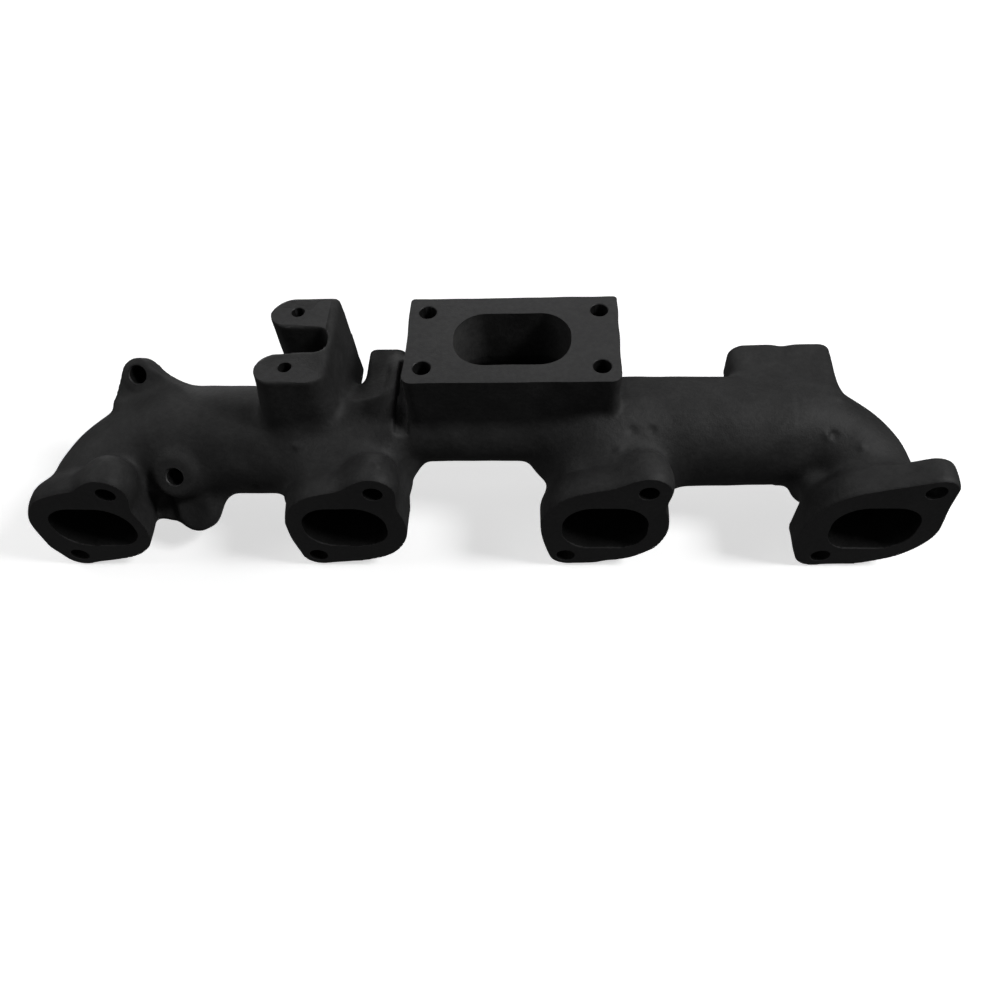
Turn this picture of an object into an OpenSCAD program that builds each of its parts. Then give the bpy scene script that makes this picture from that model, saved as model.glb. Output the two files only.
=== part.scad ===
// Cast iron exhaust manifold for an in-line four cylinder diesel engine.
// X runs along the engine, the port faces look toward -Y, the turbocharger face looks up (+Z).
// The origin is midway between ports 2 and 3, on the port face plane, at port centre height.

/* [Ports] */
// Distance between neighbouring cylinders
pitch = 120; // [112:1:135]
// Width of each gas port
port_w = 39; // [34:0.5:42]
// Height of each gas port
port_h = 28; // [24:0.5:30]
// Thickness of the port flanges
flange_t = 13; // [10:0.5:15]
// Width of the round part of the two middle port flanges
flange_w = 56; // [54:0.5:59]
// Width of the round part of the two end port flanges
end_flange_w = 60; // [57:0.5:62]
// Height of the round part of a port flange
flange_h = 50; // [46:0.5:52]
// Sideways offset of each flange bolt from the port centre
bolt_dx = 17.5; // [16:0.5:20]
// Vertical offset of each flange bolt from the port centre
bolt_dz = 25; // [24.5:0.5:28]
// Diameter of the plain flange bolt holes
bolt_d = 9; // [7:0.5:10]
// Depth of the room for nuts behind the flanges
nut_room = 10; // [8:0.5:12]
// Radius of the metal round a flange bolt
ear_r = 9; // [8:0.5:10]

/* [Log pipe] */
// Outer radius of the log pipe left of the collector
log_r = 27; // [26:0.5:28]
// Outer radius of the log pipe right of the collector
log_rr = 26; // [25:0.5:27]
// Wall of the log pipe and the runners
wall = 5.5; // [4.5:0.5:7]
// Distance of the log axis behind the port faces
log_y = 46; // [44:0.5:48]
// Height of the left log axis above the port centres
log_z = 8; // [6:0.5:9.5]
// Height of the right log axis above the port centres
log_zr = 11.5; // [9.5:0.5:12.5]
// Outer radius of the two middle runners
run_r = 26.5; // [25:0.5:27]
// Outer radius of the two end bends
end_r = 24; // [23.5:0.5:25]
// Centreline radius of the two end bends
bend_r = 36; // [32:0.5:38]

/* [Collector] */
// Outer radius of the rounded front and rear of the collector
col_r = 18.5; // [18:0.5:20]
// Distance of the front of the collector behind the port faces
col_front = 28; // [27:0.5:30]
// Distance of the rear of the collector behind the port faces
col_rear = 82; // [80:0.5:84]
// Height of the collector axis above the port centres
col_z = 19.5; // [18.5:0.5:20.5]
// Left end of the collector
col_x0 = -34; // [-35:0.5:-32]
// Right end of the collector
col_x1 = 50; // [49:1:54]

/* [Turbocharger flange] */
// Centre of the turbocharger flange along the engine
turbo_x = 18.5; // [15:0.5:20]
// Centre of the turbocharger flange behind the port faces
turbo_y = 59.5; // [58:0.5:61]
// Height of the turbocharger face
turbo_z = 60; // [58:0.5:64]
// Width of the turbocharger flange
turbo_w = 94; // [92:1:98]
// Depth of the turbocharger flange
turbo_d = 53; // [51:0.5:56]
// Thickness of the turbocharger flange
turbo_t = 13; // [10:0.5:14]
// Bottom height of the riser block under the flange
riser_z = 30; // [28:0.5:34]
// Width of the turbocharger opening
mouth_w = 52; // [46:0.5:54]
// Depth of the turbocharger opening
mouth_d = 32; // [28:0.5:33]
// Corner radius of the turbocharger opening
mouth_r = 14; // [10:0.5:14]
// Turbocharger bolt spacing along the engine
turbo_bx = 77.5; // [76:0.5:80]
// Turbocharger bolt spacing across the flange
turbo_by = 35; // [34:0.5:38]
// Diameter of the tapped turbocharger bolt holes
turbo_bolt_d = 8; // [6:0.5:8.5]
// Depth of the tapped turbocharger bolt holes
turbo_bolt_l = 20; // [16:1:22]

/* [Bracket] */
// Distance of the bracket bolts from the middle of the engine
lug_x = 80.5; // [79:0.5:82]
// How far the lug ends are rounded past the bolts
lug_out = 2.5; // [1:0.5:3]
// Distance of the front bracket bolt behind the port faces
lug_y = 43.5; // [42:0.5:45]
// Spacing of the two bracket bolts
lug_gap = 35; // [34:0.5:37]
// Radius of the bracket lugs
lug_r = 10; // [9.5:0.5:10.5]
// Thickness of the bracket web at the top
web_t = 4; // [4:0.5:8]
// Thickness of the bracket web at the bottom
web_b = 7; // [6:0.5:12]
// Diameter of the tapped bracket holes
lug_d = 6; // [5:0.5:8]
// Depth of the tapped bracket holes
lug_l = 16; // [12:1:18]

/* [Lugs and bosses] */
// Distance of the left end ear hole from the middle of the engine
ear_x = 160; // [158:0.5:162]
// Distance of the left end ear hole from the log axis
ear_s = 32; // [31:0.5:34]
// Diameter of the hole in the left end ear
ear_d = 8.5; // [7:0.5:9]
// Thickness of the left end ear and lug
ear_t = 9; // [8:0.5:10]
// Thickness of the left end ear round its hole
ear_hub = 15; // [13:0.5:16]
// Depth of the tapped hole in the left end ear
ear_l = 10; // [8:0.5:11]
// How far the web beside the lower lug reaches towards port 1
lug_web = 26; // [24:0.5:27]
// Distance of the sensor boss from the middle of the engine
sensor_x = 139; // [137:0.5:141]
// Distance of the sensor boss below the log axis
sensor_s = 15; // [12:0.5:16]
// Radius of the sensor boss
sensor_r = 9; // [8:0.5:10]
// Diameter of the tapped sensor hole
sensor_d = 8; // [6:0.5:8]
// Distance of the single rear boss from the middle of the engine
boss_x = 46; // [45:0.5:47]
// Height of the single rear boss axis
boss_z = 25.5; // [23:0.5:27]
// Half the width of the single rear boss
boss_r = 8; // [7:0.5:8.5]
// Height of the axes of the rear pair of bosses
pair_z = 21.5; // [18:0.5:23]
// Middle of the rear pair of bosses along the engine
pair_x = 144.5; // [142:0.5:146]
// Half the height of the rear pair of bosses
pair_r = 12; // [11.5:0.5:12.5]
// Spacing of the rear pair of bosses
pair_gap = 23; // [22:0.5:23]
// Distance of the rear boss ends behind the port faces
boss_y = 81; // [76:0.5:84]
// Diameter of the tapped holes in the rear bosses
boss_d = 8; // [6:0.5:9]
// Depth of the tapped holes in the rear bosses
boss_l = 9; // [6:0.5:9]

/* [Hidden] */
$fn = 64;
port_x = [-1.5 * pitch, -0.5 * pitch, 0.5 * pitch, 1.5 * pitch];
function axis_z(x) = x < 0 ? log_z : log_zr;
function tilt(x) = atan2(axis_z(x), log_y - flange_t);
function oval_h(x) = port_h * cos(tilt(x));
bend_x = port_x[3] - bend_r;
tee_x0 = port_x[1] - run_r - 1.5;
tee_x1 = port_x[2] + run_r + 1.5;
big = 300;
web_x = -66;
slot_w = lug_gap - 2 * lug_r;

// ---------- outlines ----------
module oval(w, h) {
    square([w - h, h], center = true);
    translate([(w - h) / 2, 0]) circle(d = h);
    translate([-(w - h) / 2, 0]) circle(d = h);
}

module rounded(w, d, r) {
    square([w - 2 * r, d], center = true);
    square([w, d - 2 * r], center = true);
    for (i = [-1, 1]) for (j = [-1, 1])
        translate([i * (w / 2 - r), j * (d / 2 - r)]) circle(r = r);
}

module flange_outline(i) {
    w = i == 0 || i == 3 ? end_flange_w : flange_w;
    hull() {
        translate([(w - flange_h) / 2, 0]) circle(d = flange_h);
        translate([-(w - flange_h) / 2, 0]) circle(d = flange_h);
        translate([bolt_dx, bolt_dz]) circle(r = ear_r);
        translate([-bolt_dx, -bolt_dz]) circle(r = ear_r);
    }
}

// ---------- frames ----------
// Flat drawing stood up on the port face plane, thickness going toward +Y.
module standing(x) {
    translate([x, 0, 0]) rotate([90, 0, 0]) mirror([0, 0, 1]) children();
}

// Frame on the log axis: local -Y points down the runner toward the port.
module at_log(x) {
    translate([x, log_y, axis_z(x)]) rotate([tilt(x), 0, 0]) children();
}

// Frame on the log axis: local Z looks up and forward at 45 degrees.
module at_ear(x) {
    translate([x, log_y, log_z]) rotate([45, 0, 0]) children();
}

module along_x(x0, x1, y, z, r) {
    translate([x0, y, z]) rotate([0, 90, 0]) cylinder(r = r, h = x1 - x0);
}

module ahead_of_flange_back() {
    translate([-big, -big, -big]) cube([2 * big, big + flange_t, 2 * big]);
}

// ---------- solid and hollow shapes shared by several parts ----------
module log_solid(x0, x1) {
    if (x0 < col_x0) along_x(x0, min(x1, col_x0), log_y, log_z, log_r);
    if (x1 > col_x1) along_x(max(x0, col_x1), x1, log_y, log_zr, log_rr);
}

// Oval tube along X whose wall is inset by e from the outside of the collector.
module collector_tube(x0, x1, e) {
    translate([x0, (col_front + col_rear) / 2, col_z]) rotate([90, 0, 90])
        linear_extrude(height = x1 - x0) oval(col_rear - col_front - 2 * e, 2 * (col_r - e));
}

module collector_solid() {
    collector_tube(col_x0, col_x1, 0);
}

// Opening through the end walls where the log pipe steps over to the collector.
module step_hollow(x, z, r) {
    intersection() {
        along_x(x - wall - 1, x + wall + 1, log_y, z, r - wall);
        collector_tube(x - wall - 1, x + wall + 1, wall);
    }
}

module log_hollow() {
    along_x(-bend_x - 1, col_x0 - wall, log_y, log_z, log_r - wall);
    along_x(col_x1 + wall, bend_x + 1, log_y, log_zr, log_rr - wall);
    collector_tube(col_x0 + wall, col_x1 - wall, wall);
    step_hollow(col_x0, log_z, log_r);
    step_hollow(col_x1, log_zr, log_rr);
}

module runner_solid(i) {
    at_log(port_x[i]) rotate([90, 0, 0]) cylinder(r = run_r, h = log_y + 20);
}

module runner_hollow(i) {
    at_log(port_x[i]) rotate([90, 0, 0]) linear_extrude(height = log_y + 20)
        oval(port_w, oval_h(port_x[i]));
}

module bend_solid(s) {
    at_log(s * bend_x) {
        translate([0, -bend_r, 0]) rotate([0, 0, s > 0 ? 0 : 90])
            rotate_extrude(angle = 90) translate([bend_r, 0]) circle(r = end_r);
        translate([s * bend_r, -bend_r, 0]) rotate([90, 0, 0]) cylinder(r = end_r, h = 30);
    }
}

module bend_hollow(s) {
    at_log(s * bend_x) {
        translate([0, -bend_r, 0]) rotate([0, 0, s > 0 ? 0 : 90])
            rotate_extrude(angle = 90) translate([bend_r, 0]) oval(port_w, oval_h(s));
        translate([s * bend_r, -bend_r, 0]) rotate([90, 0, 0])
            linear_extrude(height = 40) oval(port_w, oval_h(s));
    }
}

module mouth_hollow() {
    translate([turbo_x, turbo_y, col_z]) linear_extrude(height = turbo_z - turbo_t - col_z)
        rounded(mouth_w, mouth_d, mouth_r);
}

module turbo_holes() {
    for (i = [-1, 1]) for (j = [-1, 1])
        translate([turbo_x + i * turbo_bx / 2, turbo_y + j * turbo_by / 2, turbo_z - turbo_bolt_l])
            cylinder(d = turbo_bolt_d, h = turbo_bolt_l + 1);
}

// ---------- port flanges ----------
module port_flange(i) {
    color([0.20, 0.20, 0.21]) difference() {
        standing(port_x[i]) linear_extrude(height = flange_t) flange_outline(i);
        standing(port_x[i]) translate([0, 0, -1]) linear_extrude(height = flange_t + 2) oval(port_w, port_h);
        standing(port_x[i]) for (s = [-1, 1])
            translate([s * bolt_dx, s * bolt_dz, -1]) cylinder(d = bolt_d, h = flange_t + 2);
    }
}

module port_flange_1() port_flange(0);
module port_flange_2() port_flange(1);
module port_flange_3() port_flange(2);
module port_flange_4() port_flange(3);

// ---------- end bends and runners ----------
module end_bend(s, i) {
    color([0.25, 0.25, 0.26]) difference() {
        bend_solid(s);
        bend_hollow(s);
        ahead_of_flange_back();
        bolt_clearance(i);
    }
}

// Room for the nuts and washers behind the flange ears.
module bolt_clearance(i) {
    standing(port_x[i]) for (s = [-1, 1])
        translate([s * bolt_dx, s * bolt_dz, flange_t - 1]) cylinder(r = ear_r, h = nut_room + 1);
}

module end_bend_1() end_bend(-1, 0);
module end_bend_4() end_bend(1, 3);

module runner_2() {
    color([0.25, 0.25, 0.26]) difference() {
        runner_solid(1);
        runner_hollow(1);
        ahead_of_flange_back();
        log_solid(-bend_x, bend_x);
        collector_solid();
        bolt_clearance(1);
    }
}

module runner_3() {
    color([0.25, 0.25, 0.26]) difference() {
        runner_solid(2);
        runner_hollow(2);
        ahead_of_flange_back();
        log_solid(col_x1, bend_x);
        collector_solid();
        bolt_clearance(2);
    }
}

// ---------- log pipe ----------
module log_left() {
    color([0.22, 0.22, 0.23]) difference() {
        log_solid(-bend_x, tee_x0);
        log_hollow();
        sensor_hole();
    }
}

module log_tee_2() {
    color([0.24, 0.24, 0.25]) difference() {
        log_solid(tee_x0, col_x0);
        log_hollow();
        runner_hollow(1);
    }
}

module collector() {
    color([0.22, 0.22, 0.23]) difference() {
        collector_solid();
        log_hollow();
        runner_hollow(2);
        mouth_hollow();
    }
}

module log_tee_3() {
    color([0.24, 0.24, 0.25]) difference() {
        log_solid(col_x1, tee_x1);
        log_hollow();
        runner_hollow(2);
    }
}

module log_right() {
    color([0.22, 0.22, 0.23]) difference() {
        log_solid(tee_x1, bend_x);
        log_hollow();
    }
}

// ---------- turbocharger riser and flange ----------
module turbo_riser() {
    color([0.26, 0.26, 0.27]) difference() {
        translate([turbo_x, turbo_y, riser_z])
            linear_extrude(height = turbo_z - turbo_t - riser_z) rounded(turbo_w, turbo_d, 3);
        collector_solid();
        log_solid(col_x1, bend_x);
        log_hollow();
        mouth_hollow();
        turbo_holes();
    }
}

module turbo_flange() {
    color([0.30, 0.30, 0.31]) difference() {
        translate([turbo_x, turbo_y, turbo_z - turbo_t])
            linear_extrude(height = turbo_t) rounded(turbo_w, turbo_d, 3);
        translate([turbo_x, turbo_y, turbo_z - turbo_t - 1])
            linear_extrude(height = turbo_t + 2) rounded(mouth_w, mouth_d, mouth_r);
        turbo_holes();
    }
}

// ---------- bracket ----------
module lug(y, z0) {
    difference() {
        union() {
            translate([-lug_x - lug_out, y, z0]) cylinder(r = lug_r, h = turbo_z - z0);
            translate([-lug_x - lug_out, y - lug_r, z0])
                cube([web_x + lug_x + lug_out, 2 * lug_r, turbo_z - z0]);
        }
        translate([-lug_x, y, turbo_z - lug_l]) cylinder(d = lug_d, h = lug_l + 1);
        log_solid(-bend_x, bend_x);
    }
}

module bracket_front_lug() {
    color([0.28, 0.28, 0.29]) lug(lug_y, log_z + 10);
}

module bracket_rear_lug() {
    color([0.28, 0.28, 0.29]) lug(lug_y + lug_gap, log_z + 14);
}

module web_solid() {
    translate([web_x, lug_y + lug_gap + lug_r, 0]) rotate([90, 0, 0])
        linear_extrude(height = lug_gap + 2 * lug_r)
        polygon([[0, log_z + 4], [0, turbo_z], [web_t, turbo_z], [web_b, log_z + 4]]);
}

// Rounded inner corners of the slot between the lugs.
module slot_corner() {
    r = slot_w / 3;
    translate([web_x - r, lug_y + lug_gap / 2, log_z + 10]) difference() {
        translate([0, -slot_w / 2, 0]) cube([r, slot_w, turbo_z - log_z - 10]);
        translate([-r, 0, -1]) linear_extrude(height = turbo_z) rounded(4 * r, slot_w, r);
    }
}

module bracket_web() {
    color([0.26, 0.26, 0.27]) difference() {
        union() {
            web_solid();
            slot_corner();
        }
        log_solid(-bend_x, bend_x);
    }
}

// ---------- left end ear, lug and sensor boss ----------
module end_ear() {
    color([0.28, 0.28, 0.29]) difference() {
        union() {
            at_ear(-ear_x) translate([0, 0, 1.5]) linear_extrude(height = ear_t) hull() {
                translate([0, ear_s]) circle(r = 8);
                translate([-13, log_r - 10]) square([39, 2]);
            }
            at_ear(-ear_x) translate([0, ear_s, 1.5 + ear_t - ear_hub]) cylinder(r = 8, h = ear_hub);
        }
        at_ear(-ear_x) translate([0, ear_s, 1.5 + ear_t - ear_l]) cylinder(d = ear_d, h = ear_l + 1);
        log_solid(-bend_x, 0);
        bend_solid(-1);
    }
}

module end_lug_block() {
    at_ear(-ear_x + 26.5) translate([0, 0, 1.5]) linear_extrude(height = ear_t) hull() {
        translate([0, -log_r - 7.5]) circle(r = 9);
        translate([-15, -log_r + 6]) square([32, 2]);
    }
}

module end_lug_web() {
    at_ear(-ear_x + 26.5) translate([0, 0, -1]) linear_extrude(height = 9) hull() {
        translate([-3, -log_r - 7]) circle(r = 7);
        translate([-lug_web, -log_r - 8]) circle(r = 2.5);
        translate([-lug_web, -log_r + 6]) square([lug_web, 2]);
    }
}

module end_lug() {
    color([0.28, 0.28, 0.29]) difference() {
        union() {
            end_lug_block();
            end_lug_web();
        }
        log_solid(-bend_x, 0);
        bend_solid(-1);
        port_flange_block();
    }
}

module port_flange_block() {
    standing(port_x[0]) translate([0, 0, -5]) linear_extrude(height = flange_t + 5) flange_outline(0);
}

module sensor_boss() {
    color([0.30, 0.30, 0.31]) difference() {
        at_ear(-sensor_x) translate([0, -sensor_s, 12]) cylinder(r = sensor_r, h = 13.5);
        log_solid(-bend_x, 0);
        bend_solid(-1);
        end_lug_block();
        sensor_hole();
    }
}

module sensor_hole() {
    at_ear(-sensor_x) translate([0, -sensor_s, 19.5]) cylinder(d = sensor_d, h = 7);
}

// ---------- rear bosses ----------
// Drawing in X and Z stood up and run back from the log axis to the boss faces.
module back_block(x, z, w, h, r) {
    translate([x, boss_y, z]) rotate([90, 0, 0]) linear_extrude(height = boss_y - log_y) rounded(w, h, r);
}

module back_hole(x, z) {
    translate([x, boss_y - boss_l, z]) rotate([-90, 0, 0]) cylinder(d = boss_d, h = boss_l + 1);
}

module rear_boss() {
    color([0.28, 0.28, 0.29]) difference() {
        back_block(-boss_x, boss_z, 2 * boss_r, 2 * boss_r, 4.5);
        back_hole(-boss_x, boss_z);
        log_solid(-bend_x, bend_x);
        web_solid();
    }
}

module rear_boss_pair() {
    color([0.28, 0.28, 0.29]) difference() {
        back_block(pair_x, pair_z, pair_gap + 2 * pair_r, 2 * pair_r, 7);
        back_hole(pair_x - pair_gap / 2, pair_z);
        back_hole(pair_x + pair_gap / 2, pair_z);
        log_solid(-bend_x, bend_x);
        bend_solid(1);
        log_hollow();
        bend_hollow(1);
    }
}

port_flange_1();
port_flange_2();
port_flange_3();
port_flange_4();
end_bend_1();
runner_2();
runner_3();
end_bend_4();
log_left();
log_tee_2();
collector();
log_tee_3();
log_right();
turbo_riser();
turbo_flange();
bracket_front_lug();
bracket_rear_lug();
bracket_web();
end_ear();
end_lug();
sensor_boss();
rear_boss();
rear_boss_pair();
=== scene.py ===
import math

import bpy
import numpy as np
import openvdb
from mathutils import Matrix, Vector


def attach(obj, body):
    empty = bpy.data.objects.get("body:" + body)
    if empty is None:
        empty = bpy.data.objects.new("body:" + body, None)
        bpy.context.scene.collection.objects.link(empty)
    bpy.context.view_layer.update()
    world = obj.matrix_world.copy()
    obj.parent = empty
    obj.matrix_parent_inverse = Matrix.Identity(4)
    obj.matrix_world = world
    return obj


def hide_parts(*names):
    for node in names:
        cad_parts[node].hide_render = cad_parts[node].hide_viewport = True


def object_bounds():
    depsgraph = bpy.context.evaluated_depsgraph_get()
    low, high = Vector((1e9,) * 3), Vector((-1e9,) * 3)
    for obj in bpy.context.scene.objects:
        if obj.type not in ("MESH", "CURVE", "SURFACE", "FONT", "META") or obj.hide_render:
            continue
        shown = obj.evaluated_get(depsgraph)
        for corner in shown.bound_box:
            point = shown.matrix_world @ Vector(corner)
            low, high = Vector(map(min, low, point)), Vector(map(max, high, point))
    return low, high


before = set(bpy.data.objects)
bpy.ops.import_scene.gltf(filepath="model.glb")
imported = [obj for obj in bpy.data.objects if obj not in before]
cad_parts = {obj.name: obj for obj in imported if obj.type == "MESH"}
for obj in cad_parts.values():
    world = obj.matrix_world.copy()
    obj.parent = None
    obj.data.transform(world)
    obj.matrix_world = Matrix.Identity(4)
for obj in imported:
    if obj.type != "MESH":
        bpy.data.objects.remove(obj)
cad_lo, cad_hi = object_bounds()

# The casting is worked out as one signed distance field, so that every joint gets a soft fillet.
# The field becomes one mesh, which is milled, drilled and divided into the regions of the CAD model.

# ---------------------------------------------------------------- sizes in mm, the same frame as the CAD
MM = 1000.0
PORT_X = (-180.0, -60.0, 60.0, 180.0)
PORT_W, PORT_H = 39.0, 28.0
BOLT_X, BOLT_Z, BOLT_R = 17.5, 25.0, 4.4
FLANGE_T = 13.0
LOG_Y = 46.0
LOG_Z, LOG_R = 8.0, 27.0
LOG_Z_RIGHT, LOG_R_RIGHT = 11.5, 26.0
WALL = 5.5
BEND_X, BEND_R = 144.0, 36.0
COL_Y, COL_HALF, COL_Z, COL_R = 55.0, 27.0, 19.5, 18.5
TURBO_X, TURBO_Y, TURBO_W, TURBO_D, TURBO_Z = 18.5, 59.5, 94.0, 53.0, 60.0
TURBO_BOLT_X, TURBO_BOLT_Y, TURBO_BOLT_R = 38.75, 17.5, 4.0
MOUTH_W, MOUTH_D, MOUTH_CORNER = 52.0, 32.0, 14.0
LUG_X, LUG_Y, LUG_GAP, LUG_R = 83.0, 43.5, 35.0, 10.0
LUG_HOLE_X, LUG_HOLE_R = 80.5, 3.0
EAR_X, EAR_HOLE_Y, EAR_HOLE_R, EAR_TOP = 160.0, 32.0, 4.25, 10.5
SENSOR_X, SENSOR_Y, SENSOR_R, SENSOR_HOLE_R, SENSOR_TOP = 139.0, 15.0, 9.0, 4.0, 25.3
BOSS_END, BOSS_HOLE_R, BOSS_HOLE_DEPTH = 81.0, 4.0, 9.0
BOSS_HOLE = (-46.0, 25.5)
PAIR_HOLE_X, PAIR_Z = (133.0, 156.0), 21.5

# Planes where the regions of the casting meet
LOG_CUTS = (-144, -88, -34, 50, 88, 144)
RUNNER_BACK, LUG_SPLIT, PAIR_FRONT, BOSS_FRONT = 27, 61, 66, 70
REAR_LUG_FOOT, RISER_FOOT, FRONT_LUG_FOOT, TURBO_SPLIT = 21, 30, 32, 47

# ---------------------------------------------------------------- the grid of the distance field
STEP = 1.0
FIELD_LO = np.array([-212.0, -4.0, -37.0])
FIELD_N = (425, 97, 102)
AXES = [(FIELD_LO[k] + STEP * np.arange(FIELD_N[k])).astype(np.float32) for k in range(3)]
FAR = 40.0


def field():
    return np.full(FIELD_N, FAR, np.float32)


def window(lo, hi, pad):
    """The slices of the grid that hold the box lo..hi, and the coordinates in them."""
    a = [max(0, int((lo[k] - pad - FIELD_LO[k]) / STEP)) for k in range(3)]
    b = [min(FIELD_N[k], int((hi[k] + pad - FIELD_LO[k]) / STEP) + 2) for k in range(3)]
    cut = tuple(slice(i, j) for i, j in zip(a, b))
    x = AXES[0][cut[0]][:, None, None]
    y = AXES[1][cut[1]][None, :, None]
    z = AXES[2][cut[2]][None, None, :]
    return cut, x, y, z


def smin(a, b, k):
    """Union of two distances with a fillet of size k."""
    if k <= 0:
        return np.minimum(a, b)
    h = np.maximum(k - np.abs(a - b), 0) / k
    return np.minimum(a, b) - h * h * (k / 4)


def smax(a, b, k):
    """Intersection of two distances with a softened edge of size k."""
    return -smin(-a, -b, k)


def add(f, lo, hi, k, shape):
    """Blends a shape that lies in the box lo..hi into the field f, with a fillet of size k."""
    cut, x, y, z = window(lo, hi, k + 5)
    f[cut] = smin(f[cut], shape(x, y, z), k)


def ramp(t, a, b):
    """0 below a, 1 above b and smooth between them."""
    s = np.clip((t - a) / (b - a), 0, 1)
    return s * s * (3 - 2 * s)


def joined(a, b, r):
    """Intersection of two distances with an edge rounded to radius r."""
    a, b = np.broadcast_arrays(a + r, b + r)
    return np.hypot(np.maximum(a, 0), np.maximum(b, 0)) + np.minimum(np.maximum(a, b), 0) - r


def bar(t, a, b):
    """Distance to the stretch a..b of one axis."""
    return np.abs(t - (a + b) / 2) - (b - a) / 2


def oval(u, v, w, h):
    """Distance to a slot shape w wide and h high."""
    return np.hypot(np.maximum(np.abs(u) - (w - h) / 2, 0), v) - h / 2


def rounded(u, v, w, d, r):
    """Distance to a w by d rectangle with corners of radius r."""
    a, b = np.abs(u) - w / 2 + r, np.abs(v) - d / 2 + r
    return np.hypot(np.maximum(a, 0), np.maximum(b, 0)) + np.minimum(np.maximum(a, b), 0) - r


def outline(u, v, pts):
    """Distance to a closed outline of straight edges, negative inside."""
    u, v = np.broadcast_arrays(u, v)
    best = np.full(u.shape, 1e9, np.float32)
    inside = np.zeros(u.shape, bool)
    n = len(pts)
    for i in range(n):
        (ax, ay), (bx, by) = pts[i], pts[(i + 1) % n]
        ex, ey = bx - ax, by - ay
        wx, wy = u - ax, v - ay
        t = np.clip((wx * ex + wy * ey) / (ex * ex + ey * ey), 0, 1)
        best = np.minimum(best, np.hypot(wx - ex * t, wy - ey * t))
        cross = (ay > v) != (by > v)
        if ey != 0:
            inside ^= cross & (u < ex * (v - ay) / ey + ax)
    return np.where(inside, -best, best)


def half_hull(seq):
    """One side of the convex hull of points that are already in order."""
    out = []
    for p in seq:
        while len(out) > 1 and np.cross(out[-1] - out[-2], p - out[-2]) <= 0:
            out.pop()
        out.append(p)
    return out[:-1]


def hull_of(circles, n=48):
    """Outline drawn tight around circles given as (x, y, radius)."""
    turns = np.linspace(0, 2 * math.pi, n, endpoint=False)
    pts = np.array([(cx + r * math.cos(a), cy + r * math.sin(a)) for cx, cy, r in circles for a in turns])
    pts = pts[np.lexsort((pts[:, 1], pts[:, 0]))]
    return [tuple(p) for p in half_hull(pts) + half_hull(pts[::-1])]


def axis_z(x):
    return LOG_Z if x < 0 else LOG_Z_RIGHT


def tilt(x):
    """Angle by which the runner at x climbs from its flange to the log."""
    return math.atan2(axis_z(x), LOG_Y - FLANGE_T)


def log_local(x0, x, y, z):
    """Coordinates in the frame on the log axis whose -Y points down a runner."""
    t = tilt(x0)
    dy, dz = y - LOG_Y, z - axis_z(x0)
    return x - x0, dy * math.cos(t) + dz * math.sin(t), -dy * math.sin(t) + dz * math.cos(t)


def ear_local(x0, x, y, z):
    """Coordinates in the frame on the left log axis whose Z looks up and forward at 45 degrees."""
    c = math.sqrt(0.5)
    dy, dz = y - LOG_Y, z - LOG_Z
    return x - x0, (dy + dz) * c, (dz - dy) * c


# ---------------------------------------------------------------- flanges, runners and bends
FLANGE_OUT = [hull_of(c) for c in (
    [(-3.8, 0, 25.4), (-1.6, 0, 24.6), (17, 25, 8.8), (-17.5, -24.6, 9), (-16.8, -16, 12.6)],
    [(0.2, 0, 25), (2.5, 0, 25), (17.5, 25, 9), (-17.2, -24.6, 8)],
    [(-3.4, 2, 25), (2.0, 1, 25), (17.5, 25, 9), (-17.0, -24.2, 7.6)],
    [(-5.0, 0, 25.4), (3.0, -0.5, 24.8), (17.9, 24.4, 9.4), (-19.6, -23.6, 9.8), (-20, -16, 12)])]
FLANGE_EDGE = (6.5, 6.5, 6.5, 2.6)


def flange(i):
    def shape(x, y, z):
        d2 = outline(x - PORT_X[i], z, FLANGE_OUT[i])
        r = FLANGE_EDGE[i] * (0.5 + 0.5 * ramp(z, -5, 18))
        return joined(d2, bar(y, -0.28 * FLANGE_EDGE[i], FLANGE_T), r)
    return shape


def ear_boss(px, y1):
    """Round boss behind the upper bolt hole of a flange."""
    def shape(x, y, z):
        d2 = np.hypot(x - px - BOLT_X + 0.5, z - BOLT_Z) - 9
        return joined(d2, bar(y, -1.8, y1), 6.0)
    return shape


def runner(px, foot, head):
    """Oval runner that changes from the foot's (width, height) at the log to the head's at the flange."""
    def shape(x, y, z):
        lx, ly, lz = log_local(px, x, y, z)
        g = ramp(-ly, 8, 36)
        w, h = foot[0] + (head[0] - foot[0]) * g, foot[1] + (head[1] - foot[1]) * g
        return np.maximum(oval(lx, lz, w, h), np.maximum(ly, 1 - y))
    return shape


def bend_path(s, x, y, z):
    """Coordinates of an end bend: across, along the runner, out from the centre line, and height."""
    lx, ly, lz = log_local(s * BEND_X, x, y, z)
    u = s * lx
    rho = np.hypot(u, ly + BEND_R)
    e = np.where(ly < -BEND_R, u - BEND_R, np.where(u < 0, ly, rho - BEND_R))
    return u, ly, e, lz


def bend(s, radii):
    """Round bend whose radius goes from the log's, through the turn's, to the flange's."""
    def shape(x, y, z):
        u, ly, e, lz = bend_path(s, x, y, z)
        turn = np.degrees(np.arctan2(np.maximum(u, 0), ly + BEND_R))
        r = radii[0] + (radii[1] - radii[0]) * ramp(turn, 0, 42) + (radii[2] - radii[1]) * ramp(-ly, 24, 44)
        return np.maximum(np.hypot(e, lz) - r, np.maximum(-3 - u, 1 - y))
    return shape


def corner_fill(x, y, z):
    """Metal in the inner corner of the right bend."""
    u, ly, e, lz = bend_path(1, x, y, z)
    return np.sqrt((u - 11.0) ** 2 + (ly + 25) ** 2 + np.maximum(np.abs(lz + 2) - 5, 0) ** 2) - 7.6


def ball(cx, cy, cz, r):
    return lambda x, y, z: np.sqrt((x - cx) ** 2 + (y - cy) ** 2 + (z - cz) ** 2) - r


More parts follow.
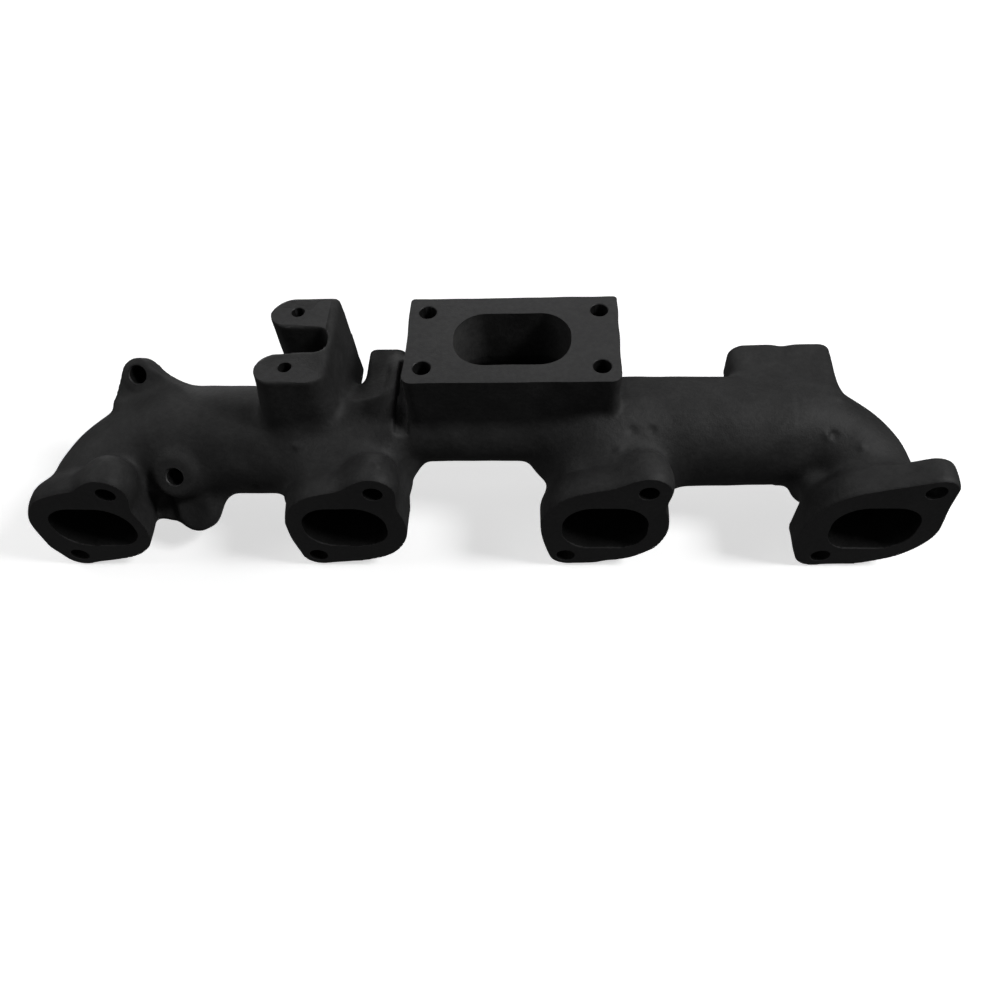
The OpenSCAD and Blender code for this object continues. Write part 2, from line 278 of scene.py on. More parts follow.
# ---------------------------------------------------------------- log, collector and turbocharger block
def along(x0, x1, cz, r, edge):
    """Round bar along the log axis from x0 to x1."""
    return lambda x, y, z: joined(np.hypot(y - LOG_Y, z - cz) - r, bar(x, x0, x1), edge)


def log_right(x, y, z):
    r = 25.8 - 0.8 * ramp(x, 90, 150)
    return joined(np.hypot(y - LOG_Y, z - LOG_Z_RIGHT - 0.5) - r, bar(x, 47, 146.5), 4)


def oval_tube(y, z, r):
    """Oval bar along X around the collector's centre line, COL_HALF deep each way when r is COL_R."""
    return np.hypot(np.maximum(np.abs(y - COL_Y) - COL_HALF + COL_R, 0), z - COL_Z) - r


def collector(x, y, z):
    return joined(oval_tube(y, z, COL_R), bar(x, -40, 56), 4)


def turbo_block(x, y, z):
    corner = np.where(y < TURBO_Y, 4.5, 1.6)
    return joined(rounded(x - TURBO_X, y - TURBO_Y, TURBO_W, TURBO_D, corner), bar(z, 24, 63), 1.5)


# ---------------------------------------------------------------- bracket, ears and bosses
def bracket(x, y, z):
    """Two upright lugs joined by a web, flared towards the foot on the front."""
    mid = LUG_Y + LUG_GAP / 2
    body = rounded(x + LUG_X - 9.5, y - mid, 39, LUG_GAP + 2 * LUG_R, np.where(y < mid, 8.0, 2.0))
    flare = np.clip(4.5 * (58 - z) / 34, 0, 4.5)
    body = np.where(y < mid, body - 0.7 * flare * (1 - ramp(y, 36, mid)), body)
    lugs = np.minimum(np.hypot(x + LUG_X + 1.3, y - LUG_Y) - LUG_R - flare,
                      np.hypot(x + LUG_X, y - LUG_Y - LUG_GAP) - LUG_R)
    body = np.where(x < -LUG_X, lugs, np.minimum(body, lugs))
    slot = rounded(x + 95, y - mid, 60, 15, 5)
    d2 = smax(body, -slot, 1.0)
    right = x + 62 - (TURBO_Z - z) * 0.062
    d2 = smax(d2, joined(right, z - TURBO_Z, 3.5), 1.0)
    d2 = smax(d2, joined(right, LUG_Y - LUG_R - 0.7 * flare - y, 9.0), 1.0)
    foot = 22.0 - z - ramp(x, -67, -65) * 10
    return smax(d2, np.maximum(foot, z - 63), 1.5)


EAR_OUT = hull_of([(0, 31.6, 7.8), (-11, 19, 2), (24, 19, 2)])
LUG_OUT = hull_of([(-2.6, -34.8, 8.6), (-13, -20, 2), (12.5, -20, 2)])
WEB_OUT = hull_of([(-3, -34, 7), (-26, -35, 2.5), (-26, -18, 2), (0, -18, 2)])


def ear(x, y, z):
    """Upper ear at the left end: a plate with a hub around its hole."""
    lx, ly, lz = ear_local(-EAR_X, x, y, z)
    plate = joined(outline(lx, ly, EAR_OUT), bar(lz, 1.5, EAR_TOP), 1.2)
    hub = joined(np.hypot(lx, ly - 31.4) - 6.8, bar(lz, -4.5, EAR_TOP), 1.2)
    return smin(plate, hub, 3)


def low_lug(x, y, z):
    """Lower lug at the left end, with the web that reaches towards port 1."""
    lx, ly, lz = ear_local(-133.5, x, y, z)
    plate = joined(outline(lx, ly, LUG_OUT), bar(lz, 1.5, 10.5), 1.5)
    web = joined(outline(lx, ly, WEB_OUT), np.maximum(-1.0 - lz, lz - 9.6 - 0.12 * lx), 1.5)
    return smin(plate, web, 5)


def shelf(x, y, z):
    """Raised edge running from the sensor boss to the end bend."""
    lx, ly, lz = ear_local(-140, x, y, z)
    t = np.clip(lx / -17.0, 0, 1)
    past_end = np.maximum(lx, 0) + np.minimum(lx + 17, 0)
    return np.hypot(np.hypot(past_end, ly + 19.5 - 2.0 * t), lz - 16.2) - 3.9


def sensor(x, y, z):
    lx, ly, lz = ear_local(-SENSOR_X, x, y, z)
    return joined(np.hypot(lx, ly + SENSOR_Y) - SENSOR_R, bar(lz, 10, SENSOR_TOP), 1.2)


def stub(px, cz, w, h, r):
    """Boss of w by h mm with corners of radius r, reaching from the log axis to the back."""
    return lambda x, y, z: joined(rounded(x - px, z - cz, w, h, r), bar(y, LOG_Y, BOSS_END + 3), 1.0)


def boss_pair(x, y, z):
    left, right = stub(132.6, PAIR_Z, 24.4, 24, 7), stub(156.2, PAIR_Z, 23.6, 24, 7)
    return smin(left(x, y, z), right(x, y, z), 8)


# ---------------------------------------------------------------- gas passages
def bend_bore(s):
    def shape(x, y, z):
        u, ly, e, lz = bend_path(s, x, y, z)
        return np.maximum(oval(e, lz, PORT_W, PORT_H * math.cos(tilt(s))), -8 - u)
    return shape


def port_bore(px):
    return lambda x, y, z: np.maximum(oval(x - px, z, PORT_W, PORT_H), y - FLANGE_T - 0.5)


def runner_bore(px):
    def shape(x, y, z):
        lx, ly, lz = log_local(px, x, y, z)
        return np.maximum(oval(lx, lz, PORT_W, PORT_H * math.cos(tilt(px))), ly)
    return shape


def collector_bore(x, y, z):
    r = COL_R - WALL - 4.5 * (1 - ramp(x, -28, -18))
    return np.maximum(oval_tube(y, z, r), bar(x, -46, 62))


def mouth(x, y, z):
    return np.maximum(rounded(x - TURBO_X, y - TURBO_Y, MOUTH_W, MOUTH_D, MOUTH_CORNER), COL_Z - z)


# ---------------------------------------------------------------- the whole casting as one field
def solid_field():
    """Outside of the casting, as if it had no passages."""
    f = field()
    add(f, (-152, 17, -20), (-30, 74, 36), 0, along(-151, -34.5, LOG_Z - 0.3, LOG_R - 0.5, 6))
    add(f, (45, 19, -15), (152, 73, 38), 0, log_right)
    add(f, (-42, 26, -1), (58, 84, 40), 6, collector)
    add(f, (-209, -4, -32), (-141, 78, 38), 0, bend(-1, (26.5, 23.0, 23.6)))
    add(f, (141, -4, -32), (209, 78, 38), 0, bend(1, (25.2, 22.2, 25.0)))
    add(f, (132, 4, -16), (170, 40, 26), 5, corner_fill)
    add(f, (-92, -4, -32), (-28, 50, 38), 16, runner(-60, (49, 49), (53, 50)))
    add(f, (28, -4, -32), (92, 50, 38), 16, runner(60, (50, 50), (53, 50)))
    for i, px in enumerate(PORT_X):
        add(f, (px - 32, -4, -36), (px + 32, 14, 36), 9, flange(i))
    for px in PORT_X[:3]:
        add(f, (px + 8, -4, 15), (px + 27, 24, 35), 9, ear_boss(px, 18))
    for cx, cy, cz in ((-34.5, 33, 7.5), (35.5, 33, 6.0)):
        add(f, (cx - 8, cy - 8, cz - 8), (cx + 8, cy + 8, cz + 8), 6, ball(cx, cy, cz, 7))
    add(f, (-29, 33, 24), (66, 86, 63), 2.5, turbo_block)
    add(f, (-101, 26, 12), (-56, 89, 63), 5, bracket)
    add(f, (-176, 50, 10), (-130, 76, 40), 7, ear)
    add(f, (-164, 3, -26), (-114, 38, 6), 5, low_lug)
    add(f, (-162, 14, -6), (-136, 34, 14), 3, shelf)
    add(f, (-149, 12, -2), (-129, 40, 24), 8, sensor)
    add(f, (-55, 46, 17), (-37, 83, 34), 5, stub(-43.6, BOSS_HOLE[1], 18.4, 16, 4.5))
    add(f, (120, 46, 9), (169, 83, 34), 3, boss_pair)
    return f


def press_pocket(f):
    """The pocket between the end of the left log and the turbocharger block."""
    cut, x, y, z = window((-40, 24, 18), (-28, 66, 60), 2)
    deep = 4.4 * ramp(y, 27, 40) * (1 - ramp(y, 64, 72)) * ramp(z, 20, 26)
    band = np.maximum(np.abs(x + 32.3) - 2.9, z - 46)
    lowered = smax(f[cut], np.minimum(-band, f[cut] + deep), 1.6)
    f[cut] += (lowered - f[cut]) * ramp(deep, 0.2, 1.6)


def passage_field():
    """Passages from the four ports through the log to the turbocharger mouth."""
    f = field()
    add(f, (-152, 24, -14), (-30, 68, 30), 0, along(-152, -40, LOG_Z, LOG_R - WALL, 4))
    add(f, (44, 25, -10), (152, 67, 33), 0, along(56, 152, LOG_Z_RIGHT, LOG_R_RIGHT - WALL, 4))
    add(f, (-46, 33, 6), (62, 77, 33), 4, collector_bore)
    for s in (-1, 1):
        near, far = sorted((s * 136, s * 202))
        add(f, (near, -4, -18), (far, 70, 30), 0, bend_bore(s))
    for px in PORT_X[1:3]:
        add(f, (px - 20, -4, -20), (px + 20, 50, 30), 3, runner_bore(px))
    for px in PORT_X:
        add(f, (px - 20, -4, -15), (px + 20, 14, 15), 0, port_bore(px))
    add(f, (-8, 43, 18), (45, 76, 64), 3, mouth)
    return f


SPOT_R, SPOT_H = 2.6, 0.8
BUMPS = ((157, 29, 29), (171, 24, 27), (-80, 26, 27), (-111, 20, 3), (65, 20, 31), (-40, 8, 35))
DENTS = ((71, 28, 34), (80, 29, 33), (159, 30, 28), (-104, 22, 6))


def spot(f, p, side):
    """A small bump (side 1) or dent (side -1) on the surface nearest to p."""
    cut, x, y, z = window([v - 5 for v in p], [v + 5 for v in p], 2)
    i, j, k = (int(round((p[a] - FIELD_LO[a]) / STEP)) for a in range(3))
    n = np.array([f[i + 1, j, k] - f[i - 1, j, k],
                  f[i, j + 1, k] - f[i, j - 1, k],
                  f[i, j, k + 1] - f[i, j, k - 1]])
    n = n / np.linalg.norm(n)
    foot = FIELD_LO + STEP * np.array([i, j, k]) - n * f[i, j, k]
    c = foot - n * (SPOT_R - SPOT_H) * side
    mark = ball(c[0], c[1], c[2], SPOT_R)(x, y, z)
    f[cut] = smin(f[cut], mark, 1.2) if side > 0 else smax(f[cut], -mark, 1.2)


def add_unevenness(f):
    """The slow waviness of a sand casting."""
    rng = np.random.default_rng(7)
    x, y, z = AXES[0][:, None, None], AXES[1][None, :, None], AXES[2][None, None, :]
    for wave, height, count in ((34.0, 0.112, 5), (15.0, 0.063, 6)):
        for _ in range(count):
            d = rng.normal(size=3)
            d *= 2 * math.pi / wave / np.linalg.norm(d)
            p = rng.uniform(0, 6.28, 3)
            f += np.float32(height) * np.sin(d[0] * x + p[0]) * np.sin(d[1] * y + p[1] + d[2] * z)


def trimmed(f):
    """The field kept inside the CAD box, limited to a narrow band and closed at the grid's edge."""
    f = np.maximum(f, bar(AXES[0][:, None, None], -209.6, 209.6))
    f = np.maximum(f, bar(AXES[1][None, :, None], -5, 88.3))
    f = np.maximum(f, -33.8 - AXES[2][None, None, :])
    f = np.clip(f, -4, 4).astype(np.float32)
    for k in range(3):
        edge = [slice(None)] * 3
        for end in (0, -1):
            edge[k] = end
            f[tuple(edge)] = np.maximum(f[tuple(edge)], 1.0)
    return f


solid = solid_field()
press_pocket(solid)
hollow = passage_field()
solid = smax(solid, -hollow, 0.8)
for p in BUMPS:
    spot(solid, p, 1)
for p in DENTS:
    spot(solid, p, -1)
add_unevenness(solid)
solid = trimmed(solid)


# ---------------------------------------------------------------- from the field to a mesh
def linked(name, data):
    o = bpy.data.objects.new(name, data)
    bpy.context.scene.collection.objects.link(o)
    return o


def mesh_object(name, verts, faces):
    me = bpy.data.meshes.new(name)
    verts = np.asarray(verts, np.float32)
    loops = np.concatenate([np.asarray(f, np.int32).ravel() for f in faces])
    sizes = np.concatenate([np.full(len(f), len(f[0]), np.int32) for f in faces])
    me.vertices.add(len(verts))
    me.vertices.foreach_set("co", verts.ravel())
    me.loops.add(len(loops))
    me.loops.foreach_set("vertex_index", loops)
    me.polygons.add(len(sizes))
    me.polygons.foreach_set("loop_start", np.concatenate([[0], np.cumsum(sizes)[:-1]]).astype(np.int32))
    me.update(calc_edges=True)
    me.validate()
    return linked(name, me)


grid = openvdb.FloatGrid(4.0)
grid.copyFromArray(solid)
points, tris, quads = grid.convertToPolygons(0.0, 0.0)
body = mesh_object("casting", (points * STEP + FIELD_LO) / MM, [f for f in (quads, tris) if len(f)])

# ---------------------------------------------------------------- milling and drilling
UP, FRONT, REAR = (0, 0, 1), (0, -1, 0), (0, 1, 0)
EAR_FRAME = Matrix.Translation((0, LOG_Y, LOG_Z)) @ Matrix.Rotation(math.radians(45), 4, "X")
TILTED = tuple(EAR_FRAME.to_3x3() @ Vector(UP))
CUTTER_LIFT = 2.0
drills = []


def block(lo, hi, matrix=None):
    """Vertices in metres and faces of the box lo..hi, which is given in mm."""
    v = [Vector((x, y, z)) for x in (lo[0], hi[0]) for y in (lo[1], hi[1]) for z in (lo[2], hi[2])]
    if matrix is not None:
        v = [matrix @ p for p in v]
    f = [(0, 1, 3, 2), (4, 6, 7, 5), (0, 4, 5, 1), (2, 3, 7, 6), (0, 2, 6, 4), (1, 5, 7, 3)]
    return [tuple(p / MM) for p in v], f


def ear_block(lo, hi):
    return block(lo, hi, EAR_FRAME)


def ear_point(x, y, z):
    return EAR_FRAME @ Vector((x, y, z))


def drill(origin, axis, r, depth, chamfer, n=48):
    """A hole drilled from origin against axis, with a small countersink and a drill point."""
    drills.append((np.array(origin, float), np.array(Vector(axis).normalized()), r, depth))
    turn = Vector(axis).normalized().to_track_quat("Z", "Y").to_matrix()
    rings = [(CUTTER_LIFT, r + chamfer), (0.0, r + chamfer), (-chamfer, r), (-depth, r)]
    v = []
    for z, rad in rings:
        for i in range(n):
            a = 2 * math.pi * i / n
            v.append(turn @ Vector((rad * math.cos(a), rad * math.sin(a), z)) + Vector(origin))
    tip = len(v)
    v.append(turn @ Vector((0, 0, -depth - r * 0.6)) + Vector(origin))
    after = [(i + 1) % n for i in range(n)]
    f = [(k + i, k + n + i, k + n + after[i], k + after[i]) for k in range(0, tip - n, n) for i in range(n)]
    f.append(tuple(range(n)))
    f += [(tip - n + i, tip, tip - n + after[i]) for i in range(n)]
    return [tuple(p / MM) for p in v], f


def boolean(o, parts, operation):
    """The mesh of o after a Boolean with all the parts together. o itself stays as it is."""
    v, f = [], []
    for part_v, part_f in parts:
        f += [tuple(i + len(v) for i in face) for face in part_f]
        v += part_v
    me = bpy.data.meshes.new("cutter")
    me.from_pydata(v, [], f)
    me.update()
    cutter = linked("cutter", me)
    m = o.modifiers.new("cut", "BOOLEAN")
    m.operation, m.object, m.solver = operation, cutter, "MANIFOLD"
    dg = bpy.context.evaluated_depsgraph_get()
    result = bpy.data.meshes.new_from_object(o.evaluated_get(dg))
    o.modifiers.clear()
    bpy.data.objects.remove(cutter)
    return result


def cut_away(o, parts):
    old, o.data = o.data, boolean(o, parts, "DIFFERENCE")
    bpy.data.meshes.remove(old)


mill_blocks = [
    block((-215, -10, -40), (215, 0, 50)),
    block((-120, 20, TURBO_Z), (120, 100, 70)),
    block((-58, BOSS_END, 10), (-34, 95, 40)),
    block((115, BOSS_END, 0), (175, 95, 40)),
]
holes = []
for px in PORT_X:
    for s, depth in ((-1, 15), (1, 17)):
        holes.append(drill((px + s * BOLT_X, 0, s * BOLT_Z), FRONT, BOLT_R, depth, 0.2))
for sx in (-1, 1):
    for sy in (-1, 1):
        at = (TURBO_X + sx * TURBO_BOLT_X, TURBO_Y + sy * TURBO_BOLT_Y, TURBO_Z)
        holes.append(drill(at, UP, TURBO_BOLT_R, 20, 0.3))
for y in (LUG_Y, LUG_Y + LUG_GAP):
    holes.append(drill((-LUG_HOLE_X, y, TURBO_Z), UP, LUG_HOLE_R, 16, 0.3))
holes.append(drill(ear_point(-EAR_X, EAR_HOLE_Y, EAR_TOP - 0.1), TILTED, EAR_HOLE_R, 10, 0.4))
holes.append(drill(ear_point(-SENSOR_X, -SENSOR_Y, SENSOR_TOP - 0.1), TILTED, SENSOR_HOLE_R, 6, 0.5))
holes.append(drill((BOSS_HOLE[0], BOSS_END, BOSS_HOLE[1]), REAR, BOSS_HOLE_R, BOSS_HOLE_DEPTH, 0.6))
for x in PAIR_HOLE_X:
    holes.append(drill((x, BOSS_END, PAIR_Z), REAR, BOSS_HOLE_R, BOSS_HOLE_DEPTH, 0.6))
for mill in mill_blocks:
    cut_away(body, [mill])
cut_away(body, holes)

# ---------------------------------------------------------------- the casting in its named regions
regions = []
for i, px in enumerate(PORT_X):
    regions.append((f"port_flange_{i + 1}", block((px - 31, -5, -36), (px + 31, FLANGE_T, 37))))
regions += [
    ("turbo_flange", block((-33, 25, TURBO_SPLIT), (70, 95, 65))),
    ("turbo_riser", block((-31, 30, RISER_FOOT), (68, 95, TURBO_SPLIT))),
    ("bracket_front_lug", block((-97, 28, FRONT_LUG_FOOT), (-66, LUG_SPLIT, 65))),
    ("bracket_rear_lug", block((-97, LUG_SPLIT, REAR_LUG_FOOT), (-66, 95, 65))),
    ("bracket_web", block((-66, 28, FRONT_LUG_FOOT), (-56, 95, 65))),
    ("end_ear", ear_block((-178, 25, -2), (-128, 46, 14))),
    ("end_lug", ear_block((-158, -48, -3), (-114, -27, 14))),
    ("sensor_boss", ear_block((-150, -26, 22), (-128, -4, 30))),
    ("rear_boss", block((-56, BOSS_FRONT, 14), (-36, 95, 36))),
    ("rear_boss_pair", block((119, PAIR_FRONT, 6), (170, 95, 36))),
    ("runner_2", block((-96, -5, -40), (-26, RUNNER_BACK, 50))),
    ("runner_3", block((26, -5, -40), (96, RUNNER_BACK, 50))),
]
LOG_NAMES = ("end_bend_1", "log_left", "log_tee_2", "collector", "log_tee_3", "log_right", "end_bend_4")
for name, x0, x1 in zip(LOG_NAMES, (-220,) + LOG_CUTS, LOG_CUTS + (220,)):
    regions.append((name, block((x0, -5, -40), (x1, 95, 65))))
pieces = {}
for name, region in regions:
    pieces[name] = linked(name.replace("_", "-") + ".skin", boolean(body, [region], "INTERSECT"))
    cut_away(body, [region])
bpy.data.objects.remove(body)


# ---------------------------------------------------------------- materials
def node(nt, kind, **settings):
    n = nt.nodes.new(kind)
    for key, value in settings.items():
        setattr(n, key, value)
    return n


def noise(nt, where, scale, detail, roughness=0.55):
    n = node(nt, "ShaderNodeTexNoise")
    n.inputs["Scale"].default_value = scale
    n.inputs["Detail"].default_value = detail
    n.inputs["Roughness"].default_value = roughness
    nt.links.new(where, n.inputs["Vector"])
    return n.outputs["Fac"]


def shades(nt, fac, at, dark, light):
    """Colour ramp from dark at the first place in at to light at the second."""
    n = node(nt, "ShaderNodeValToRGB")
    for e, place, colour in zip(n.color_ramp.elements, at, (dark, light)):
        e.position = place
        e.color = (*colour, 1)
    nt.links.new(fac, n.inputs[0])
    return n.outputs[0]


def multiplied(nt, base, other, amount):
    n = node(nt, "ShaderNodeMix", data_type="RGBA", blend_type="MULTIPLY")
    n.inputs["Factor"].default_value = amount
    nt.links.new(base, n.inputs[6])
    nt.links.new(other, n.inputs[7])
    return n.outputs[2]


def bumped(nt, height, strength, distance, under=None):
    n = node(nt, "ShaderNodeBump")
    n.inputs["Strength"].default_value = strength
    n.inputs["Distance"].default_value = distance
    nt.links.new(height, n.inputs["Height"])
    if under is not None:
        nt.links.new(under, n.inputs["Normal"])
    return n.outputs[0]


def cast_material(name, tint, rough, bump, shine, mottle=0.8):
    """Cast iron with slow blotches, smaller patches and a sand grain, in colour, roughness and bump."""
    m = bpy.data.materials.new(name)
    m.use_nodes = True
    nt = m.node_tree
    nt.nodes.clear()
    bsdf = node(nt, "ShaderNodeBsdfPrincipled")
    nt.links.new(bsdf.outputs[0], node(nt, "ShaderNodeOutputMaterial").inputs[0])
    where = node(nt, "ShaderNodeTexCoord").outputs["Object"]
    blotch = noise(nt, where, 26, 4)
    patch = noise(nt, where, 85, 3, 0.5)
    grain = noise(nt, where, 420, 3, 0.65)
    fine = noise(nt, where, 1500, 2, 0.6)

    dark = (tint[0] * 0.78, tint[1] * 0.78, tint[2] * 0.78)
    light = (tint[0] * 1.18, tint[1] * 1.18, tint[2] * 1.16)
    colour = shades(nt, blotch, (0.3, 0.72), dark, light)
    colour = multiplied(nt, colour, shades(nt, patch, (0.36, 0.66), (0.62,) * 3, (1.0,) * 3), mottle)
    colour = multiplied(nt, colour, shades(nt, grain, (0.35, 0.65), (0.55, 0.55, 0.56), (1, 1, 1)), 0.55)
    nt.links.new(colour, bsdf.inputs["Base Color"])

    spread = node(nt, "ShaderNodeMapRange")
    spread.inputs["To Min"].default_value, spread.inputs["To Max"].default_value = rough
    nt.links.new(blotch, spread.inputs["Value"])
    nt.links.new(spread.outputs[0], bsdf.inputs["Roughness"])
    bsdf.inputs["Specular IOR Level"].default_value = shine

    sand = bumped(nt, grain, bump[0], 0.0009)
    nt.links.new(bumped(nt, fine, bump[1], 0.0003, sand), bsdf.inputs["Normal"])
    return m


PAINT, FACED, PORT_SHADE, MOUTH_LIGHT = range(4)
materials = (
    cast_material("cast_iron_black", (0.034, 0.034, 0.0345), (0.52, 0.75), (0.26, 0.3), 0.35),
    cast_material("cast_iron_faced", (0.037, 0.037, 0.038), (0.42, 0.6), (0.12, 0.15), 0.4, 0.3),
    # near-black material for the bores and drilled holes: painted shade, standing in for the little light
    # that reaches inside a hole
    cast_material("cast_iron_port", (0.013, 0.013, 0.013), (0.7, 0.9), (0.3, 0.3), 0.15),
    # lighter material for the inner walls of the turbocharger mouth: painted light on walls that face away
    # from the lamps
    cast_material("cast_iron_mouth_painted_light", (0.055, 0.055, 0.055), (0.6, 0.8), (0.2, 0.3), 0.3),
)

# ---------------------------------------------------------------- surface of each piece
SMOOTH = 0.86          # cosine of the angle to the field's slope up to which a face shades as cast
MILLED_NEAR = 0.3      # mm from a milled plane
PASSAGE_NEAR = 1.3     # mm from the wall of a passage
MOUTH_FOOT = 34.0      # height above which a passage wall belongs to the turbocharger mouth and gets its painted light
BORE_BACK = 70.0       # as far back as the passage walls get the dark painted shade
slopes = np.stack(np.gradient(solid, STEP), axis=-1)


def field_normals(co):
    """Directions of the field's slope at points in mm, so that neighbouring pieces shade as one skin."""
    p = (co - FIELD_LO) / STEP
    i = np.clip(np.floor(p).astype(int), 0, np.array(FIELD_N) - 2)
    t = p - i
    out = np.zeros((len(co), 3))
    for a in (0, 1):
        for b in (0, 1):
            for c in (0, 1):
                w = ((t[:, 0] if a else 1 - t[:, 0]) * (t[:, 1] if b else 1 - t[:, 1])
                     * (t[:, 2] if c else 1 - t[:, 2]))
                out += w[:, None] * slopes[i[:, 0] + a, i[:, 1] + b, i[:, 2] + c]
    return out / np.maximum(np.linalg.norm(out, axis=1), 1e-6)[:, None]


def in_passage(co):
    """True for points on the walls of the gas passages."""
    i = np.clip(np.round((co - FIELD_LO) / STEP).astype(int), 0, np.array(FIELD_N) - 1)
    return np.abs(hollow[i[:, 0], i[:, 1], i[:, 2]]) < PASSAGE_NEAR


def is_milled(co):
    y, z = co[:, 1], co[:, 2]
    return (np.abs(y) < MILLED_NEAR) | (z > TURBO_Z - MILLED_NEAR) | (np.abs(y - BOSS_END) < MILLED_NEAR)


def between_regions(co, n):
    """True for the flat faces where two regions of the casting meet."""
    out = np.zeros(len(co), bool)
    across = (LOG_CUTS, (FLANGE_T, RUNNER_BACK, LUG_SPLIT, PAIR_FRONT, BOSS_FRONT),
              (REAR_LUG_FOOT, RISER_FOOT, FRONT_LUG_FOOT, TURBO_SPLIT))
    for k, places in enumerate(across):
        for v in places:
            out |= (np.abs(co[:, k] - v) < 0.02) & (np.abs(n[:, k]) > 0.999)
    return out


def in_drill(co):
    """True for points on the wall of a drilled hole."""
    out = np.zeros(len(co), bool)
    for origin, axis, r, depth in drills:
        w = co - origin
        height = w @ axis
        radial = np.linalg.norm(w - height[:, None] * axis, axis=1)
        out |= (radial < r + 0.1) & (height < -0.3) & (height > -depth - r)
    return out


def values(items, attribute, width=1, kind=np.float32):
    out = np.zeros(len(items) * width, kind)
    items.foreach_get(attribute, out)
    return out.reshape(-1, width) if width > 1 else out


def surface(me):
    """Sets a piece's normals, taken from the field on cast faces and flat on cut ones, and its materials."""
    face_n = values(me.polygons, "normal", 3)
    centre = values(me.polygons, "center", 3).astype(float) * MM
    face_of = np.repeat(np.arange(len(me.polygons)), values(me.polygons, "loop_total", 1, np.int32))
    corner = values(me.loops, "vertex_index", 1, np.int32)
    normal = field_normals(values(me.vertices, "co", 3).astype(float) * MM)[corner]
    cut = np.zeros(len(me.polygons), bool)
    np.logical_or.at(cut, face_of, (normal * face_n[face_of]).sum(1) < SMOOTH)
    milled = is_milled(centre)
    inner = in_passage(centre) & ~milled & ~between_regions(centre, face_n)
    cut &= ~inner
    normal = np.where(cut[face_of][:, None], face_n[face_of], normal)
    me.polygons.foreach_set("use_smooth", np.ones(len(me.polygons), bool))
    me.normals_split_custom_set([tuple(n) for n in normal])

    kind = np.where(cut, FACED, PAINT).astype(np.int32)
    # drilled hole walls and the passage walls below the mouth take the near-black material, which is painted
    # shade
    kind[cut & ~milled & in_drill(centre)] = PORT_SHADE
    kind[inner & (centre[:, 1] < BORE_BACK) & (centre[:, 2] < MOUTH_FOOT)] = PORT_SHADE
    # the mouth's inner walls take the lighter material, which is painted light
    kind[inner & (centre[:, 2] >= MOUTH_FOOT)] = MOUTH_LIGHT
    me.materials.clear()
    for m in materials:
        me.materials.append(m)
    me.polygons.foreach_set("material_index", kind)
    me.update()


for name, piece in pieces.items():
    surface(piece.data)
    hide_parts(name)
    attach(piece, "root")


# ---------------------------------------------------------------- floor and backdrop
def pale(name, glow):
    """Plain pale paper with a glow of its own, which keeps the background white."""
    m = bpy.data.materials.new(name)
    m.use_nodes = True
    b = m.node_tree.nodes["Principled BSDF"]
    b.inputs["Base Color"].default_value = (0.86, 0.86, 0.86, 1)
    b.inputs["Roughness"].default_value = 0.9
    b.inputs["Specular IOR Level"].default_value = 0.1
    b.inputs["Emission Color"].default_value = (1, 1, 1, 1)
    b.inputs["Emission Strength"].default_value = glow
    return m


def staged(name, verts, polygons, material):
    """A mesh of the setting. The camera sees it, but it sheds no light on the casting."""
    me = bpy.data.meshes.new(name)
    me.from_pydata(verts, [], polygons)
    me.materials.append(material)
    o = linked(name, me)
    o.visible_diffuse = False
    o.visible_glossy = False
    return o


FLOOR_HALF, FLOOR_GAP = 60.0, 0.0003
floor_z = cad_lo[2] - FLOOR_GAP
corners = ((-1, -1), (1, -1), (1, 1), (-1, 1))
floor_points = [(sx * FLOOR_HALF, sy * FLOOR_HALF, floor_z) for sx, sy in corners]
staged("floor", floor_points, [(0, 1, 2, 3)], pale("floor", 0.62))

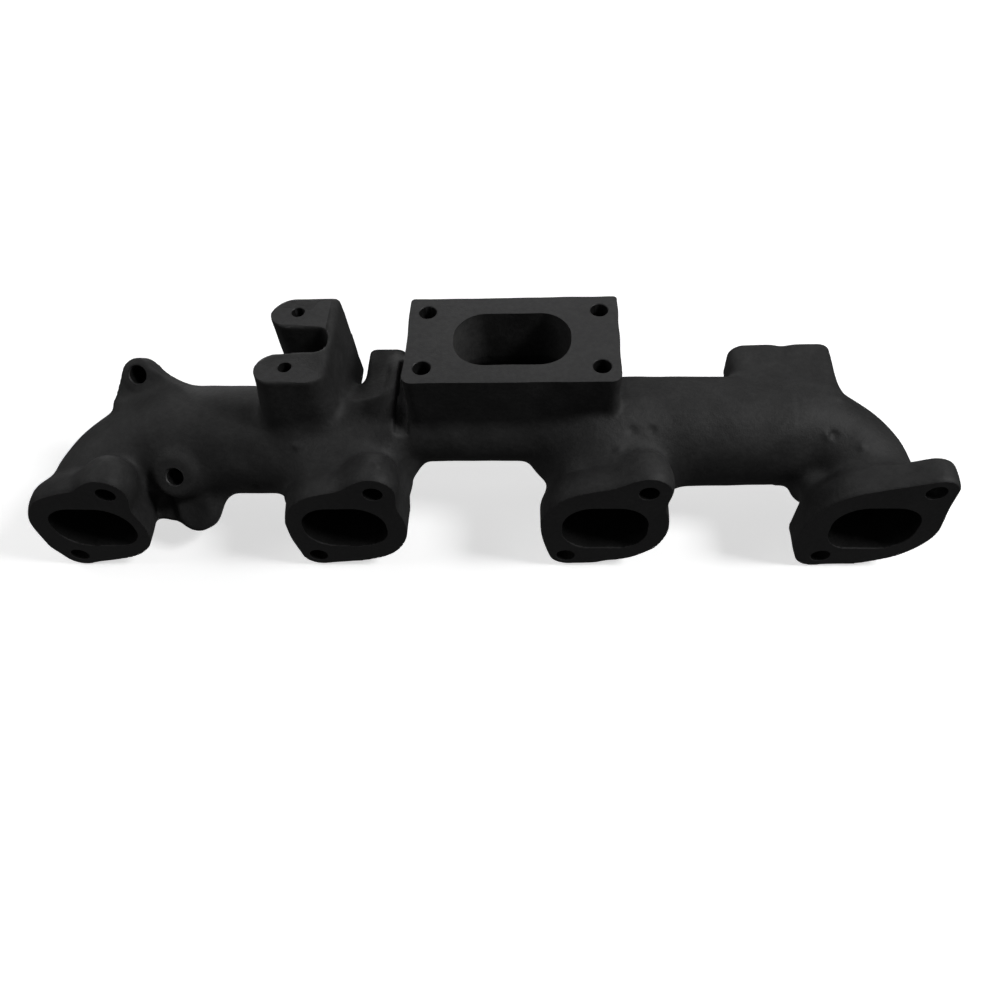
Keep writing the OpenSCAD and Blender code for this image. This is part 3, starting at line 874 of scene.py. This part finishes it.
# a round pale wall 8 m away, seen only in low views
BACK_R, BACK_TOP, BACK_N = 8.0, 12.0, 48
turns = np.linspace(0, 2 * math.pi, BACK_N, endpoint=False)
ring = [(BACK_R * math.cos(a), BACK_R * math.sin(a)) for a in turns]
back_points = [(x, y, z) for z in (cad_lo[2] - 0.1, BACK_TOP) for x, y in ring]
back_faces = [(i, (i + 1) % BACK_N, BACK_N + (i + 1) % BACK_N, BACK_N + i) for i in range(BACK_N)]
backdrop = staged("backdrop", back_points, back_faces, pale("backdrop", 0.7))
backdrop.visible_shadow = False

# ---------------------------------------------------------------- light
world = bpy.data.worlds.new("world")
bpy.context.scene.world = world
world.use_nodes = True
world.node_tree.nodes["Background"].inputs[0].default_value = (1, 1, 1, 1)
world.node_tree.nodes["Background"].inputs[1].default_value = 0.07


def area(name, at, size, power):
    """Square area light, in metres and watts, that looks at the middle of the casting."""
    light = bpy.data.lights.new(name, "AREA")
    light.shape, light.size, light.energy = "SQUARE", size, power
    o = linked(name, light)
    o.location = at
    o.rotation_mode = "QUATERNION"
    o.rotation_quaternion = (Vector((0, 0.04, 0)) - Vector(at)).to_track_quat("-Z", "Y")


area("right", (1.2, -0.1, 1.2), 0.4, 14.5)
area("back", (0.2, 1.2, 1.0), 0.8, 2.4)
area("left", (-1.2, 0.1, 1.2), 0.7, 4.6)
area("low_back", (-0.5, 1.4, 0.22), 0.9, 4.0)

# ---------------------------------------------------------------- camera, at the photograph's angle
ELEVATION, AZIMUTH, ROLL = math.radians(54.35), math.radians(5.37), math.radians(4.48)
ORIGIN_SEEN_AT = Vector((-12.15, -12.17, -379.93)) / MM

cam = linked("camera", bpy.data.cameras.new("camera"))
bpy.context.scene.camera = cam
back = Vector((math.sin(AZIMUTH) * math.cos(ELEVATION), -math.cos(AZIMUTH) * math.cos(ELEVATION),
               math.sin(ELEVATION)))
level = Vector((math.cos(AZIMUTH), math.sin(AZIMUTH), 0))
steep = back.cross(level)
right = level * math.cos(ROLL) - steep * math.sin(ROLL)
top = level * math.sin(ROLL) + steep * math.cos(ROLL)
facing = Matrix((right, top, back)).transposed()
cam.matrix_world = Matrix.Translation(facing @ -ORIGIN_SEEN_AT) @ facing.to_4x4()
cam.data.sensor_width = 36.0
cam.data.lens = 29.83824
cam.data.clip_start = 0.02
bpy.context.scene.view_settings.view_transform = "Standard"
